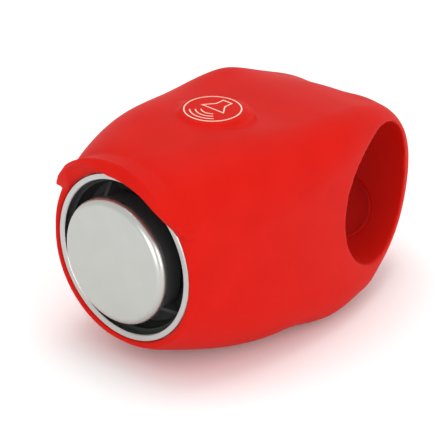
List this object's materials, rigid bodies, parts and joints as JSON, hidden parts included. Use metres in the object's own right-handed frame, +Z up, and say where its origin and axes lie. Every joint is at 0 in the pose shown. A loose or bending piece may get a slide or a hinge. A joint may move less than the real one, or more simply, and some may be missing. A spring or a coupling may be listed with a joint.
{
  "type": "bicycle bell",
  "caption": "Electronic bicycle bell: a round sounder module in a rounded square silicone sleeve whose rear loop slips over the handlebar, with a press key on top.",
  "frame": {"origin": "centre of the handlebar loop, on the handlebar's axis", "axes": "+X along the handlebar, +Y rearwards, away from the sounder, +Z up through the key"},
  "size_m": [0.0402, 0.0662, 0.0406],
  "materials": {
    "sleeve_silicone": "satin moulded red silicone",
    "cap_aluminium": "satin anodised, brushed",
    "bezel_metal": "satin plated",
    "black_plastic": "moulded black",
    "black_foam": "die-cut foam and rubber seals",
    "brass_plate": "rolled sheet",
    "ceramic": "silvered ceramic",
    "wire_sheath": "insulated hook-up wire",
    "housing_plastic": "moulded black ABS",
    "steel": "zinc plated",
    "tray_plastic": "moulded dark grey",
    "cell_steel": "nickel plated steel can",
    "contact_metal": "nickel plated spring strip",
    "board": "green solder resist",
    "component_black": "moulded epoxy",
    "ferrite": "sintered ferrite",
    "copper": "enamelled copper wire",
    "capacitor_sleeve": "shrink sleeve",
    "switch_key": "moulded off-white"
  },
  "bodies": {
    "module": {"silicone_sleeve": "sleeve_silicone", "sounder_cap": "cap_aluminium", "bezel_ring": "bezel_metal", "cap_carrier": "black_plastic", "horn_bowl": "black_plastic", "horn_gasket": "black_foam", "piezo_plate": "brass_plate", "piezo_ceramic": "ceramic", "piezo_clamp_ring": "black_plastic", "piezo_leads": "wire_sheath", "housing": "housing_plastic", "rear_cover": "housing_plastic", "cover_gasket": "black_foam", "cover_screws": "steel", "door_seal": "black_foam", "battery_tray": "tray_plastic", "front_cell": "cell_steel", "rear_cell": "cell_steel", "positive_contact": "contact_metal", "negative_contact": "contact_metal", "battery_lead": "wire_sheath", "circuit_board": "board", "board_screws": "steel", "sound_chip": "component_black", "driver_transistor": "component_black", "coil_core": "ferrite", "coil_winding": "copper", "reservoir_capacitor": "capacitor_sleeve", "switch_body": "component_black"},
    "key": {"button_pad": "sleeve_silicone"},
    "plunger": {"switch_plunger": "switch_key"},
    "door": {"battery_door": "housing_plastic"}
  },
  "joints": [
    {"name": "key_press", "type": "slide", "parent": "module", "child": "key", "axis": [0, 0, -1], "range_m": [0, 0.0006], "stiffness_N_per_m": 3000},
    {"name": "plunger_travel", "type": "slide", "parent": "module", "child": "plunger", "axis": [0, 0, -1], "range_m": [0, 0.0006]},
    {"name": "door_twist", "type": "hinge", "parent": "module", "child": "door", "pos_m": [0, -0.0155, -0.0032], "axis": [0, 1, 0], "range_deg": [0, 60]}
  ],
  "couplings": [
    {"joint": "plunger_travel", "follows": "key_press", "ratio": 1}
  ]
}
